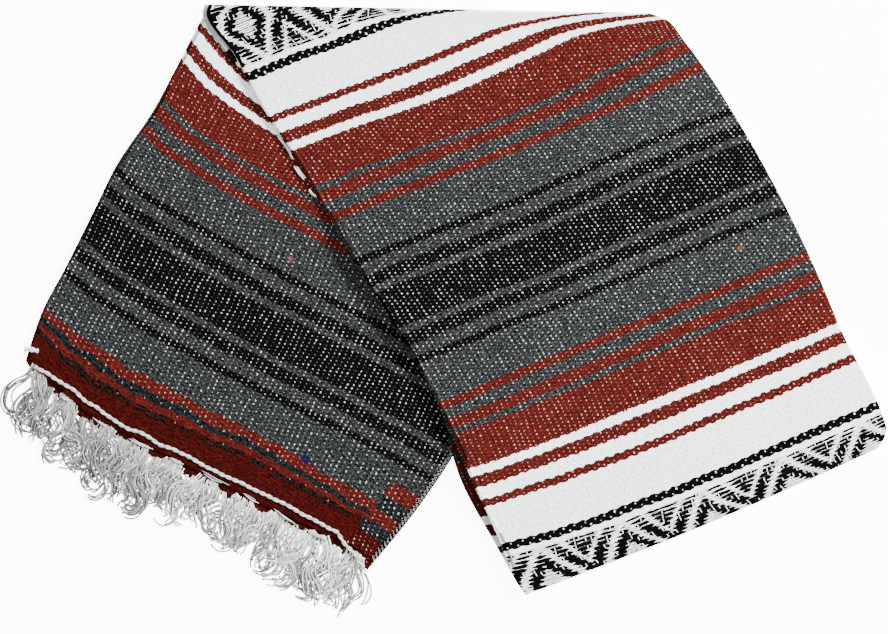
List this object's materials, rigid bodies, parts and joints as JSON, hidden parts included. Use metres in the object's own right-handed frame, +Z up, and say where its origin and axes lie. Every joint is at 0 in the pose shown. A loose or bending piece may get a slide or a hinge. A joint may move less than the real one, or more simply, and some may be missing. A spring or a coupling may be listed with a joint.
{
  "type": "mexican serape blanket, folded flat",
  "caption": "Fringed striped serape blanket, folded in three lengthwise and turned back on itself, lying flat on a surface.",
  "frame": {"origin": "centre of the footprint, on the surface that the folded cloth lies on", "axes": "+Z up from the surface, +X along the longest side of the footprint, towards the tucked end, +Y towards the slanting top fold"},
  "size_m": [0.9305, 0.6686, 0.0207],
  "materials": {
    "woven_cloth": "thick plain weave of brick red, grey, black and white stripes with pale warp dots, matt",
    "cotton_fringe": "loose tangled off-white cotton warp yarns, matt"
  },
  "bodies": {
    "root": {"left_stretch": "woven_cloth", "right_stretch": "woven_cloth", "fringe": "cotton_fringe"}
  },
  "joints": []
}
